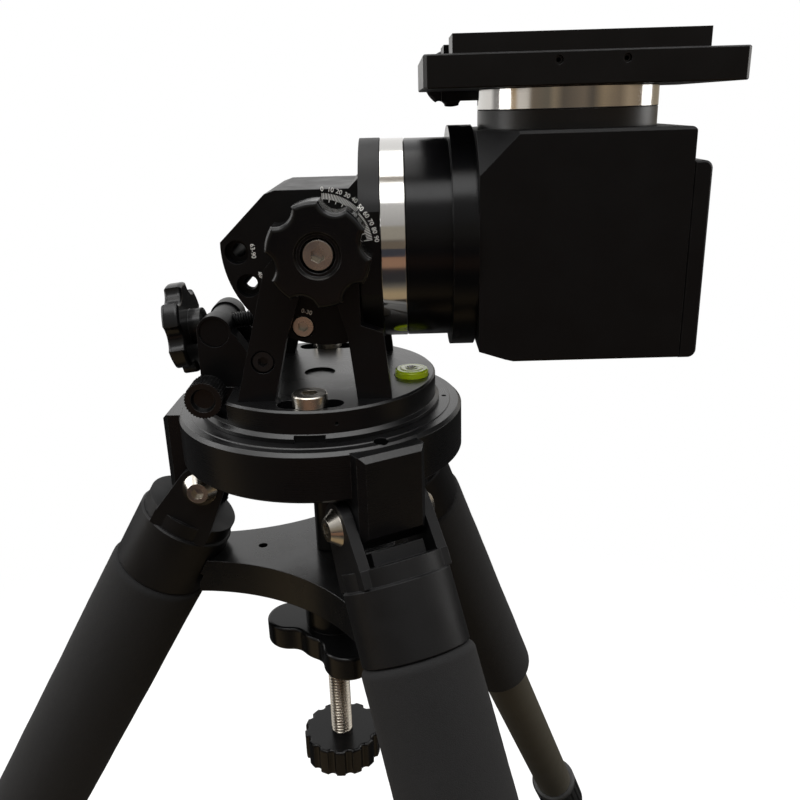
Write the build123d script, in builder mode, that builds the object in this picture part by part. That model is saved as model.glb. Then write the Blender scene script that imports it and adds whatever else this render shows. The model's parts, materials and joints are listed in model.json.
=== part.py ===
from build123d import *
import math
import os

# Strain-wave equatorial mount on its three-legged tripod, in millimetres.
# The model is built on the azimuth axis, with z = 0 on the hub's top face, and moved at the end
# so that its origin is the bottom centre of its bounding box. +X runs along the level
# right-ascension axis, away from the latitude head. "Near" is the -Y side.

# ---------- driving dimensions ----------
RUN = 0.06                       # radial clearance of a turning fit

HUB_R, HUB_T = 70.0, 24.0        # tripod hub
LUG_HALF, LUG_FACE, LUG_END = 16.5, 77.0, -48.5
PIVOT_OUT, PIVOT_DOWN = 60.5, -39.0   # leg pivot, from the azimuth axis and the hub's top
SPREAD = 30.6                    # leg angle from vertical, degrees
LEGS = {"left": 178.4, "near": -61.6, "far": 58.4}   # azimuths, degrees
EAR_IN, EAR_OUT, EAR_R = 16.8, 21.8, 11.5
PIN_R = 5.0

# distances along a leg from its pivot
EARS_END, NECK_END, CASTING_END = 21.0, 29.0, 63.0
BRIDGE_START = 14.8              # solid bridge between the two ears, below the hub's lug
TUBE_START, TUBE_END = 40.0, 600.0
GRIP_END = 306.0
LOCK_START, LOCK_END = 588.0, 652.0
ROD_START, ROD_END = 250.0, 684.0
FOOT_START, FOOT_CENTRE = 666.0, 690.0
NECK_R, CASTING_R, GRIP_R, TUBE_R, TUBE_BORE = 23.5, 25.0, 26.7, 18.0, 16.4
LOCK_R, LEG_ROD_R, FOOT_R = 22.5, 14.8, 17.0

PLATE_TOP, PLATE_T = -83.0, 18.0      # spreader plate
PLATE_ARM_HALF, PLATE_ARM, PLATE_CURVE = 15.5, 70.0, 105.0
SPREADER_DROP, LEG_FOLD = 20.0, 6.0   # the plate's travel, and the legs' fold in degrees
CENTRE_ROD_R = 6.0
NUT_TOP, NUT_T = -129.0, 14.0
ROD_KNOB_TOP, ROD_KNOB_T, ROD_KNOB_R = -203.0, 17.0, 21.7

BASE_R, LIP_R, BASE_H = 57.2, 58.9, 14.2     # azimuth base
BASE_GAP = 0.1
SLOT_R, SLOT_HALF_ANGLE, SLOT_HALF_W = 48.0, 11.5, 5.4
PEG_X, PEG_R, PEG_TOP = -49.0, 4.0, 18.8
THUMB_Z, THUMB_R = 15.0, 8.6
THUMB_IN, THUMB_OUT = 29.5, 41.5
LEVEL_X, LEVEL_Y, LEVEL_R = 45.5, -8.0, 8.2

PIVOT_X, PIVOT_Z = 8.5, 82.0          # latitude pivot
PLATE_IN, PLATE_OUT, HEAD_R = 34.3, 42.0, 15.5
CHEEK_IN, CHEEK_OUT, CHEEK_R = 22.0, 33.8, 44.5
PIN_CIRCLE, PIN_ANGLE, PIN_STEP = 37.7, 252.8, -23.2
SHAFT_R = 8.0
CLAMP_R, CLAMP_IN, CLAMP_OUT = 21.6, 44.5, 62.0

TRUNNION_X, TRUNNION_Z, TRUNNION_R = -46.0, 40.8, 7.0
ALT_SCREW_R = 4.0
# along the latitude screw, from its trunnion
KNOB_IN, KNOB_OUT, SCREW_BACK, SCREW_REACH = 14.6, 23.0, 20.4, 69.5
NUT_R, NUT_HALF, NUT_BORE = 8.5, 21.8, 6.2    # cross nut: its bore clears the screw all round
M6_R, TIE_X, TIE_Z, TIE_R = 3.0, -20.5, 32.5, 5.0

RA_Z, RA_R = 78.9, 45.0               # right-ascension axis
FLANGE_X0, RING_X0, HOUSING_X0 = 24.5, 33.4, 44.3
RA_FLANGE_X0, BOX_X0 = 64.0, 74.6
RA_FLANGE_R = 50.0

DEC_X = 117.4                         # declination axis
BOX_X1, COVER_X1, BOX_HALF = 161.0, 168.5, 48.0
BOX_Z0, BOX_Z1, COVER_Z1 = 31.3, 127.0, 113.8
DEC_COLLAR_TOP, DEC_RING_R = 134.6, 39.6
SADDLE_Z0, SADDLE_Z1, RAIL_Z1 = 143.6, 156.3, 163.5
SADDLE_X0, SADDLE_X1, SADDLE_HALF = 52.5, 180.7, 45.0
RAIL_X0, RAIL_X1 = 64.0, 164.5
CHANNEL_HALF, UNDERCUT = 22.4, 1.9    # dovetail channel: half width at its floor, and its undercut
JAW_OUT, SADDLE_KNOB_X = 48.0, (69.0, 160.0)

nodes = {}


def keep(name, part):
    """Label a finished piece and hold it for export."""
    part.label = name
    nodes[name] = part


def side_plane(y):
    """A plane facing the near side at depth y: its x is +X and its y is +Z."""
    return Plane(origin=(0, y, 0), x_dir=(1, 0, 0), z_dir=(0, -1, 0))


def end_plane(x):
    """A plane facing +X at x: its x is +Y and its y is +Z."""
    return Plane(origin=(x, 0, 0), x_dir=(0, 1, 0), z_dir=(1, 0, 0))


def leg_frame(azimuth):
    """A leg's own frame at its pivot: z runs down the leg and x points outward and up."""
    a, b = math.radians(azimuth), math.radians(SPREAD)
    pivot = (PIVOT_OUT * math.cos(a), PIVOT_OUT * math.sin(a), PIVOT_DOWN)
    down = (math.sin(b) * math.cos(a), math.sin(b) * math.sin(a), -math.cos(b))
    outward = (math.cos(b) * math.cos(a), math.cos(b) * math.sin(a), math.sin(b))
    return Plane(origin=pivot, x_dir=outward, z_dir=down)


def across(frame, shift):
    """A plane across a leg, facing along its hinge axis: its y is minus the distance down the leg."""
    origin = frame.origin + frame.y_dir * shift
    return Plane(origin=origin, x_dir=frame.x_dir, z_dir=frame.y_dir)


def radial_plane(azimuth):
    """An upright plane through the azimuth axis: x outward, y up."""
    a = math.radians(azimuth)
    outward = (math.cos(a), math.sin(a), 0)
    return Plane(origin=(0, 0, 0), x_dir=outward, z_dir=(outward[1], -outward[0], 0))


def on_circle(radius, angle):
    a = math.radians(angle)
    return (radius * math.cos(a), radius * math.sin(a))


def rim_plane(radius, angle, z):
    """A plane that faces outward on a round part's rim."""
    return Plane(origin=(*on_circle(radius, angle), z), z_dir=(*on_circle(1, angle), 0))


def cap_screw(plane, head_r, head_h, shank_r, shank_l):
    """A socket cap screw: its head stands on the plane and its shank goes below it."""
    with BuildPart() as screw:
        with BuildSketch(plane):
            Circle(head_r)
        extrude(amount=head_h)
        rims = screw.edges().filter_by(GeomType.CIRCLE)
        chamfer(rims.sort_by(lambda e: plane.to_local_coords(e.center()).Z)[-1], 0.5)
        with BuildSketch(plane):
            Circle(shank_r)
        extrude(amount=-shank_l)
        with BuildSketch(plane.offset(head_h)):
            RegularPolygon(head_r * 0.48, 6)
        extrude(amount=-head_h * 0.55, mode=Mode.SUBTRACT)
    return screw.part


def button_screw(plane, head_r, head_h, shank_r, shank_l):
    """A button-head screw: a domed head on the plane, its shank below it."""
    with BuildPart() as screw:
        with BuildSketch(plane):
            Circle(head_r)
        extrude(amount=head_h, taper=38)
        with BuildSketch(plane):
            Circle(shank_r)
        extrude(amount=-shank_l)
        with BuildSketch(plane.offset(head_h)):
            RegularPolygon(head_r * 0.36, 6)
        extrude(amount=-head_h * 0.6, mode=Mode.SUBTRACT)
    return screw.part


def lobed_outline(radius, count, scallop_r, scallop_at, start):
    """A round knob's outline with finger scallops, drawn in the current sketch."""
    Circle(radius)
    with PolarLocations(scallop_at, count, start_angle=start):
        Circle(scallop_r, mode=Mode.SUBTRACT)


# ---------- tripod hub ----------
with BuildPart() as hub:
    with BuildSketch(Plane.XZ):
        with BuildLine():
            Polyline(
                (CENTRE_ROD_R + RUN, -HUB_T), (HUB_R - 1.5, -HUB_T), (HUB_R, -HUB_T + 1.5),
                (HUB_R, -2.0), (HUB_R - 1.6, -0.4), (HUB_R - 5.5, -0.4), (HUB_R - 5.9, 0),
                (CENTRE_ROD_R + RUN, 0), close=True,
            )
        make_face()
    revolve(axis=Axis.Z)
    for azimuth in LEGS.values():
        with BuildSketch(Plane.XY.offset(LUG_END).rotated((0, 0, azimuth))):
            with BuildLine():
                Polyline(
                    (46, -LUG_HALF), (LUG_FACE - 3, -LUG_HALF), (LUG_FACE, -LUG_HALF + 3),
                    (LUG_FACE, LUG_HALF - 3), (LUG_FACE - 3, LUG_HALF), (46, LUG_HALF), close=True,
                )
            make_face()
        extrude(amount=-1.4 - LUG_END)
        with BuildSketch(radial_plane(azimuth)):
            with BuildLine():
                Polyline(
                    (LUG_FACE - 2.4, 1), (LUG_FACE + 3, 1), (LUG_FACE + 3, -6.8),
                    (LUG_FACE - 2.4, -1.4), close=True,
                )
            make_face()
            with BuildLine():
                Polyline(
                    (LUG_FACE + 1, -38.5), (LUG_FACE - 8.5, LUG_END - 1),
                    (LUG_FACE + 1, LUG_END - 1), close=True,
                )
            make_face()
            with BuildLine():
                Polyline((45, -34), (45, LUG_END - 1), (56, LUG_END - 1), close=True)
            make_face()
        extrude(amount=LUG_HALF + 1, both=True, mode=Mode.SUBTRACT)
        with BuildSketch(radial_plane(azimuth)):
            with Locations((PIVOT_OUT, PIVOT_DOWN)):
                Circle(PIN_R)
        extrude(amount=LUG_HALF + 1, both=True, mode=Mode.SUBTRACT)
    with BuildSketch(Plane.XY):
        for side in (-90, 90):
            with Locations(on_circle(SLOT_R, side)):
                Circle(5.0)
        with Locations((PEG_X, 0)):
            Circle(PEG_R)
        for azimuth in LEGS.values():
            with Locations(on_circle(HUB_R - 4.6, azimuth)):
                Circle(3.4)
        with Locations((61.4, 0)):
            Circle(1.2)
    extrude(amount=-12, mode=Mode.SUBTRACT)
keep("tripod_hub", hub.part)

pivot_screws = []
for azimuth in LEGS.values():
    frame = leg_frame(azimuth)
    for side in (-1, 1):
        seat = Plane(origin=frame.origin + frame.y_dir * side * (EAR_OUT + 0.1), z_dir=frame.y_dir * side)
        pivot_screws.append(button_screw(seat, 8.75, 4.6, PIN_R, EAR_OUT - 3))
keep("leg_pivot_screws", Compound(children=pivot_screws))


# ---------- legs ----------
def leg_clevis(azimuth):
    """Forked casting at the top of a leg, with the socket that holds the tube."""
    frame = leg_frame(azimuth)
    with BuildPart() as clevis:
        with BuildSketch(frame.offset(EARS_END)):
            Circle(NECK_R)
        extrude(amount=NECK_END - EARS_END)
        with BuildSketch(frame.offset(NECK_END)):
            Circle(CASTING_R)
        extrude(amount=CASTING_END - NECK_END)
        step = clevis.edges().filter_by(GeomType.CIRCLE).filter_by(lambda e: e.radius > NECK_R + 1)
        chamfer(step, 0.8)
        with BuildSketch(frame.offset(EARS_END)):
            Rectangle(30, 2 * EAR_OUT)
        extrude(amount=NECK_END - EARS_END)
        with BuildSketch(frame.offset(BRIDGE_START)):
            Rectangle(22, 26)
        extrude(amount=EARS_END - BRIDGE_START)
        for side in (-1, 1):
            with BuildSketch(across(frame, side * EAR_IN)):
                with BuildLine():
                    tip = PolarLine((0, 0), EAR_R, 12, mode=Mode.PRIVATE) @ 1
                    Polyline((15, -EARS_END - 3), (tip.X, tip.Y))
                    ThreePointArc((tip.X, tip.Y), (0, EAR_R), (-tip.X, tip.Y))
                    Polyline((-tip.X, tip.Y), (-15, -EARS_END - 3), (15, -EARS_END - 3))
                make_face()
            extrude(amount=side * (EAR_OUT - EAR_IN))
        with BuildSketch(across(frame, -EAR_OUT - 1)):
            Circle(PIN_R + RUN)
        extrude(amount=2 * EAR_OUT + 2, mode=Mode.SUBTRACT)
        with BuildSketch(frame.offset(TUBE_START)):
            Circle(TUBE_R)
        extrude(amount=CASTING_END, mode=Mode.SUBTRACT)
    return clevis.part


def ring(plane, outer, inner, length, edge=0.0):
    """A plain tube standing on a plane, with its outer edges chamfered by edge."""
    with BuildPart() as tube:
        with BuildSketch(plane):
            Circle(outer)
            Circle(inner, mode=Mode.SUBTRACT)
        extrude(amount=length)
        if edge:
            rims = tube.edges().filter_by(GeomType.CIRCLE).filter_by(lambda e: e.radius > outer - 0.01)
            chamfer(rims, edge)
    return tube.part


def leg_tube(azimuth):
    """Upper leg tube with the guide sleeve fixed in its lower end."""
    frame = leg_frame(azimuth)
    with BuildPart() as tube:
        with BuildSketch(frame.offset(TUBE_START)):
            Circle(TUBE_R)
            Circle(TUBE_BORE, mode=Mode.SUBTRACT)
        extrude(amount=TUBE_END - TUBE_START)
        with BuildSketch(frame.offset(TUBE_END - 15)):
            Circle(TUBE_BORE)
            Circle(LEG_ROD_R + RUN, mode=Mode.SUBTRACT)
        extrude(amount=15)
    return tube.part


def leg_lock(azimuth):
    """Ribbed twist-lock collar that closes on the lower tube."""
    frame = leg_frame(azimuth)
    with BuildPart() as lock:
        with BuildSketch(frame.offset(LOCK_START)):
            Circle(LOCK_R)
        extrude(amount=LOCK_END - LOCK_START)
        chamfer(lock.edges().filter_by(GeomType.CIRCLE), 1.5)
        with BuildSketch(frame.offset(LOCK_START + 6)):
            with PolarLocations(LOCK_R + 0.6, 20):
                Circle(1.8)
        extrude(amount=LOCK_END - LOCK_START - 12, mode=Mode.SUBTRACT)
        with BuildSketch(frame.offset(LOCK_START)):
            Circle(TUBE_R + RUN)
        extrude(amount=TUBE_END - LOCK_START + 0.5, mode=Mode.SUBTRACT)
        with BuildSketch(frame.offset(LOCK_START)):
            Circle(LEG_ROD_R + RUN)
        extrude(amount=LOCK_END - LOCK_START, mode=Mode.SUBTRACT)
    return lock.part


def leg_rod(azimuth):
    """Lower leg tube, with the bush at its top that slides in the upper tube."""
    frame = leg_frame(azimuth)
    with BuildPart() as rod:
        with BuildSketch(frame.offset(ROD_START)):
            Circle(LEG_ROD_R)
            Circle(LEG_ROD_R - 1.6, mode=Mode.SUBTRACT)
        extrude(amount=ROD_END - ROD_START)
        with BuildSketch(frame.offset(ROD_START)):
            Circle(TUBE_BORE - RUN)
            Circle(LEG_ROD_R - 1.6, mode=Mode.SUBTRACT)
        extrude(amount=14)
    return rod.part


SOLE_FLAT = 0.6                  # the ball of a foot is cut flat by this much where it stands
SOLE_Z = PIVOT_DOWN - FOOT_CENTRE * math.cos(math.radians(SPREAD)) - FOOT_R + SOLE_FLAT


def leg_foot(azimuth):
    """Rubber foot with a round sole, pushed over the lower tube."""
    frame = leg_frame(azimuth)
    with BuildPart() as foot:
        with BuildSketch(frame.offset(FOOT_START)):
            Circle(FOOT_R)
        extrude(amount=FOOT_CENTRE - FOOT_START)
        chamfer(foot.edges().filter_by(GeomType.CIRCLE).sort_by(Axis.Z)[-1], 1.0)
        with Locations(Location(frame.offset(FOOT_CENTRE))):
            Sphere(FOOT_R)
        with BuildSketch(frame.offset(FOOT_START)):
            Circle(LEG_ROD_R)
        extrude(amount=ROD_END - FOOT_START, mode=Mode.SUBTRACT)
        split(bisect_by=Plane.XY.offset(SOLE_Z), keep=Keep.TOP)
    return foot.part


for side, azimuth in LEGS.items():
    keep(f"leg_clevis_{side}", leg_clevis(azimuth))
    grip_seat = leg_frame(azimuth).offset(CASTING_END)
    keep(f"leg_grip_{side}", ring(grip_seat, GRIP_R, TUBE_R, GRIP_END - CASTING_END, 1.2))
    keep(f"leg_tube_{side}", leg_tube(azimuth))
    keep(f"leg_lock_{side}", leg_lock(azimuth))
    keep(f"leg_rod_{side}", leg_rod(azimuth))
    keep(f"leg_foot_{side}", leg_foot(azimuth))

# ---------- spreader ----------
with BuildPart() as spreader_plate:
    with BuildSketch(Plane.XY.offset(PLATE_TOP - PLATE_T)) as outline:
        for azimuth in LEGS.values():
            with Locations(Location((0, 0, 0), (0, 0, azimuth))):
                Rectangle(PLATE_ARM + 8, 2 * PLATE_ARM_HALF, align=(Align.MIN, Align.CENTER))
        inner = outline.vertices().sort_by(lambda v: math.hypot(v.X, v.Y))[0:3]
        fillet(inner, PLATE_CURVE)
        Circle(CENTRE_ROD_R + RUN, mode=Mode.SUBTRACT)
        for azimuth in LEGS.values():
            with Locations(on_circle(36.5, azimuth)):
                Circle(2.4, mode=Mode.SUBTRACT)
    extrude(amount=PLATE_T)
    with BuildSketch(Plane.XY.offset(PLATE_TOP - PLATE_T)):
        Circle(PLATE_ARM)
    extrude(amount=PLATE_T, mode=Mode.INTERSECT)
    for azimuth in LEGS.values():
        with BuildSketch(leg_frame(azimuth)):
            Circle(CASTING_R + 0.4)
        extrude(amount=160, mode=Mode.SUBTRACT)
        with BuildSketch(leg_frame(azimuth).offset(48)):
            Circle(GRIP_R + 0.5)
        extrude(amount=110, mode=Mode.SUBTRACT)
keep("spreader_plate", spreader_plate.part)

with BuildPart() as spreader_nut:
    with BuildSketch(Plane.XY.offset(NUT_TOP)) as lobes:
        Circle(21)
        with PolarLocations(25, 3, start_angle=50):
            Circle(13.5)
        necks = lobes.vertices()
        fillet(necks, 9)
    extrude(amount=-NUT_T)
    fillet(spreader_nut.faces().filter_by(Axis.Z).edges(), 1.8)
    with BuildSketch(Plane.XY.offset(NUT_TOP)):
        Circle(16)
    extrude(amount=PLATE_TOP - PLATE_T - 0.3 - NUT_TOP)
    with BuildSketch(Plane.XY.offset(NUT_TOP - NUT_T - 1)):
        Circle(CENTRE_ROD_R + RUN)
    extrude(amount=60, mode=Mode.SUBTRACT)
keep("spreader_nut", spreader_nut.part)

with BuildPart() as central_rod:
    with BuildSketch(Plane.XY.offset(ROD_KNOB_TOP - 12)):
        Circle(CENTRE_ROD_R)
    extrude(amount=8.6 - ROD_KNOB_TOP + 12)
    chamfer(central_rod.edges().filter_by(GeomType.CIRCLE).sort_by(Axis.Z)[-1], 0.8)
keep("central_rod", central_rod.part)

with BuildPart() as rod_knob:
    with BuildSketch(Plane.XY.offset(ROD_KNOB_TOP)):
        lobed_outline(ROD_KNOB_R, 14, 2.6, ROD_KNOB_R + 0.9, 0)
    extrude(amount=-ROD_KNOB_T)
    fillet(rod_knob.faces().filter_by(Axis.Z).edges(), 1.4)
    with BuildSketch(Plane.XY.offset(ROD_KNOB_TOP - 12)):
        Circle(CENTRE_ROD_R)
    extrude(amount=20, mode=Mode.SUBTRACT)
keep("rod_knob", rod_knob.part)

# ---------- azimuth base ----------
with BuildPart() as azimuth_base:
    with BuildSketch(Plane.XZ):
        with BuildLine():
            Polyline(
                (CENTRE_ROD_R + RUN, BASE_GAP), (LIP_R, BASE_GAP), (LIP_R, 2.0), (BASE_R, 3.6),
                (BASE_R, BASE_H - 0.9), (BASE_R - 0.9, BASE_H), (7.6, BASE_H), (7.6, BASE_H - 1.3),
                (0, BASE_H - 1.3), (0, 9.4), (CENTRE_ROD_R + RUN, 9.4), close=True,
            )
        make_face()
    revolve(axis=Axis.Z)
    with BuildSketch(Plane.XY.offset(BASE_H)):
        for side in (-90, 90):
            with BuildLine(mode=Mode.PRIVATE) as bolt_arc:
                CenterArc((0, 0), SLOT_R, side - SLOT_HALF_ANGLE, 2 * SLOT_HALF_ANGLE)
            SlotArc(bolt_arc.edge(), 2 * SLOT_HALF_W)
        with BuildLine(mode=Mode.PRIVATE) as peg_arc:
            CenterArc((0, 0), -PEG_X, 180 - SLOT_HALF_ANGLE, 2 * SLOT_HALF_ANGLE)
        SlotArc(peg_arc.edge(), 2 * PEG_R + 1.0)
    extrude(amount=-BASE_H, mode=Mode.SUBTRACT)
    with BuildSketch(Plane.XY.offset(BASE_H)):
        with Locations((PEG_X - 1, 0)):
            Rectangle(8, 42)
    extrude(amount=-2.6, mode=Mode.SUBTRACT)
    with BuildSketch(Plane.XY.offset(BASE_H)):
        for side in (-1, 1):
            with Locations((-38.6, side * 20.4)):
                Rectangle(30, 30, align=(Align.MAX, Align.MIN if side > 0 else Align.MAX))
    extrude(amount=5.6 - BASE_H, mode=Mode.SUBTRACT)
    with BuildSketch(Plane.XY):
        with Locations((0, -LIP_R)):
            Rectangle(14, 4.6)
    extrude(amount=3.2, mode=Mode.SUBTRACT)
    with BuildSketch(Plane.XY.offset(BASE_H)):
        with Locations((LEVEL_X, LEVEL_Y)):
            Circle(LEVEL_R + 0.3)
    extrude(amount=-5, mode=Mode.SUBTRACT)
    with BuildSketch(rim_plane(BASE_R, -78, 8)):
        Circle(0.8)
    extrude(amount=-6, mode=Mode.SUBTRACT)
keep("azimuth_base", azimuth_base.part)

keep("azimuth_lock_bolts", Compound(children=[
    cap_screw(Plane(origin=(*on_circle(SLOT_R, side), BASE_H + 0.1)), 7.9, 5.5, PIN_R - 0.02, BASE_H + 10)
    for side in (-90, 90)
]))

with BuildPart() as azimuth_peg:
    with BuildSketch(Plane.XY.offset(-12)):
        with Locations((PEG_X, 0)):
            Circle(PEG_R)
    extrude(amount=PEG_TOP + 12)
    chamfer(azimuth_peg.edges().filter_by(GeomType.CIRCLE).sort_by(Axis.Z)[-1], 0.6)
keep("azimuth_peg", azimuth_peg.part)

with BuildPart() as level_vial:
    with BuildSketch(Plane.XY.offset(BASE_H - 5)):
        with Locations((LEVEL_X, LEVEL_Y)):
            Circle(LEVEL_R)
    extrude(amount=8.2)
    fillet(level_vial.faces().sort_by(Axis.Z)[-1].edges(), 1.2)
keep("level_vial", level_vial.part)

# ---------- block for the latitude and azimuth screws ----------
SWING = math.degrees(math.atan2(
    PIVOT_Z + on_circle(PIN_CIRCLE, PIN_ANGLE)[1] - TRUNNION_Z,
    PIVOT_X + on_circle(PIN_CIRCLE, PIN_ANGLE)[0] - TRUNNION_X,
))
screw_frame = Plane(
    origin=(TRUNNION_X, 0, TRUNNION_Z), x_dir=(0, 1, 0),
    z_dir=(math.cos(math.radians(SWING)), 0, math.sin(math.radians(SWING))),
)

with BuildPart() as adjuster_block:
    with BuildSketch(side_plane(20)):
        with BuildLine():
            crown = [
                (TRUNNION_X - 8, TRUNNION_Z - 1), (TRUNNION_X, TRUNNION_Z + 8),
                (TRUNNION_X + 8, TRUNNION_Z),
            ]
            Polyline((-30.5, BASE_H), (-57.0, BASE_H), (-57.0, 17.0), (-54.2, 20.5), crown[0])
            ThreePointArc(*crown)
            Polyline(crown[2], (-36.0, 38.5), (-30.5, 30.0), (-30.5, BASE_H))
        make_face()
    extrude(amount=40)
    with BuildSketch(side_plane(30)):
        with Locations((TRUNNION_X, TRUNNION_Z)):
            Circle(TRUNNION_R + RUN)
    extrude(amount=60, mode=Mode.SUBTRACT)
    with BuildSketch(end_plane(-70)):
        with Locations((0, TRUNNION_Z - 11.8)):
            Rectangle(20, 30, align=(Align.CENTER, Align.MIN))
    extrude(amount=50, mode=Mode.SUBTRACT)
    with BuildSketch(side_plane(13.5)):
        with Locations((PEG_X, BASE_H)):
            Rectangle(10.4, 2 * (PEG_TOP + 0.8 - BASE_H))
    extrude(amount=27, mode=Mode.SUBTRACT)
    with BuildSketch(side_plane(30)):
        with Locations((PEG_X, THUMB_Z)):
            Circle(3 + RUN)
    extrude(amount=60, mode=Mode.SUBTRACT)
keep("adjuster_block", adjuster_block.part)

with BuildPart() as altitude_trunnion:
    with BuildSketch(side_plane(19)):
        with Locations((TRUNNION_X, TRUNNION_Z)):
            Circle(TRUNNION_R)
    extrude(amount=38)
    with BuildSketch(screw_frame.offset(-20)):
        Circle(ALT_SCREW_R + RUN)
    extrude(amount=40, mode=Mode.SUBTRACT)
keep("altitude_trunnion", altitude_trunnion.part)

with BuildPart() as altitude_screw:
    with BuildSketch(screw_frame.offset(-SCREW_BACK)):
        Circle(ALT_SCREW_R)
    extrude(amount=SCREW_BACK + SCREW_REACH)
    chamfer(altitude_screw.edges().filter_by(GeomType.CIRCLE), 0.6)
keep("altitude_screw", altitude_screw.part)

with BuildPart() as altitude_knob:
    with BuildSketch(screw_frame.offset(-KNOB_IN)):
        lobed_outline(22, 6, 7.0, 25.3, 0)
    extrude(amount=KNOB_IN - KNOB_OUT)
    knob_ends = altitude_knob.faces().sort_by(Axis.X)
    fillet(knob_ends[0].edges() + knob_ends[-1].edges(), 1.8)
    with BuildSketch(screw_frame.offset(-KNOB_IN)):
        Circle(8.6)
    extrude(amount=KNOB_IN - 8.6)
    with BuildSketch(screw_frame.offset(-SCREW_BACK)):
        Circle(ALT_SCREW_R)
    extrude(amount=SCREW_BACK, mode=Mode.SUBTRACT)
keep("altitude_knob", altitude_knob.part)


def thumb_screw(side):
    """Knurled azimuth screw, its tip by the peg: side is -1 for the near one, 1 for the far one."""
    head = Plane(origin=(PEG_X, side * THUMB_IN, THUMB_Z), x_dir=(1, 0, 0), z_dir=(0, side, 0))
    with BuildPart() as screw:
        with BuildSketch(head):
            Circle(THUMB_R)
            with PolarLocations(THUMB_R + 0.15, 36):
                Circle(0.5, mode=Mode.SUBTRACT)
        extrude(amount=THUMB_OUT - THUMB_IN)
        with BuildSketch(head.offset(THUMB_OUT - THUMB_IN)):
            Circle(5.6)
        extrude(amount=-2.4, taper=20, mode=Mode.SUBTRACT)
        with BuildSketch(head):
            Circle(3.0)
        extrude(amount=-(THUMB_IN - PEG_R - 0.35))
    return screw.part


keep("azimuth_screw_near", thumb_screw(-1))
keep("azimuth_screw_far", thumb_screw(1))


# ---------- wedge ----------
def wedge_plate(side):
    """A-shaped side plate standing on the base, with the pivot eye at its top."""
    start = PLATE_IN if side > 0 else -PLATE_OUT
    with BuildPart() as plate:
        with BuildSketch(side_plane(start)):
            with BuildLine():
                Polyline(
                    (-33.3, BASE_H), (-16.8, 73.5), (PIVOT_X, PIVOT_Z), (23.6, 76.0), (23.6, 48.0),
                    (33.2, 44.5), (36.2, BASE_H), (20.7, BASE_H), (17.6, 44.0), (12.6, 62.0),
                    (-2.2, 62.0), (-9.4, 42.0), (-16.3, BASE_H), close=True,
                )
            make_face()
            with Locations((PIVOT_X, PIVOT_Z)):
                Circle(HEAD_R)
            with BuildLine():
                Polyline((-16.8, 73.5), (-6.6, 84.5), (PIVOT_X, PIVOT_Z), close=True)
            make_face()
        extrude(amount=-(PLATE_OUT - PLATE_IN))
        with BuildSketch(side_plane(start)):
            with Locations((PIVOT_X, PIVOT_Z)):
                Circle(SHAFT_R)
        extrude(amount=-(PLATE_OUT - PLATE_IN), mode=Mode.SUBTRACT)
        with BuildSketch(side_plane(start)):
            with Locations((TIE_X, TIE_Z)):
                Circle(3.0)
        extrude(amount=-(PLATE_OUT - PLATE_IN), mode=Mode.SUBTRACT)
        with BuildSketch(side_plane(side * PLATE_OUT)):
            with Locations((TIE_X, TIE_Z)):
                Circle(5.3)
        extrude(amount=side * 5.2, mode=Mode.SUBTRACT)
    return plate.part


keep("wedge_plate_near", wedge_plate(-1))
keep("wedge_plate_far", wedge_plate(1))

with BuildPart() as wedge_tie:
    with BuildSketch(side_plane(PLATE_IN)):
        with Locations((TIE_X, TIE_Z)):
            Circle(TIE_R)
    extrude(amount=2 * PLATE_IN)
    with BuildSketch(side_plane(PLATE_IN)):
        with Locations((TIE_X, TIE_Z)):
            Circle(3.0)
    extrude(amount=2 * PLATE_IN, mode=Mode.SUBTRACT)
keep("wedge_tie_bar", wedge_tie.part)

keep("wedge_tie_screws", Compound(children=[
    cap_screw(
        Plane(origin=(TIE_X, side * (PLATE_OUT - 5.2), TIE_Z), z_dir=(0, side, 0)),
        5.0, 4.6, 3.0, 22,
    )
    for side in (-1, 1)
]))

with BuildPart() as pivot_shaft:
    with BuildSketch(side_plane(PLATE_OUT)):
        with Locations((PIVOT_X, PIVOT_Z)):
            Circle(SHAFT_R)
            Circle(ALT_SCREW_R + RUN, mode=Mode.SUBTRACT)
    extrude(amount=2 * PLATE_OUT)
keep("pivot_shaft", pivot_shaft.part)

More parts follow.
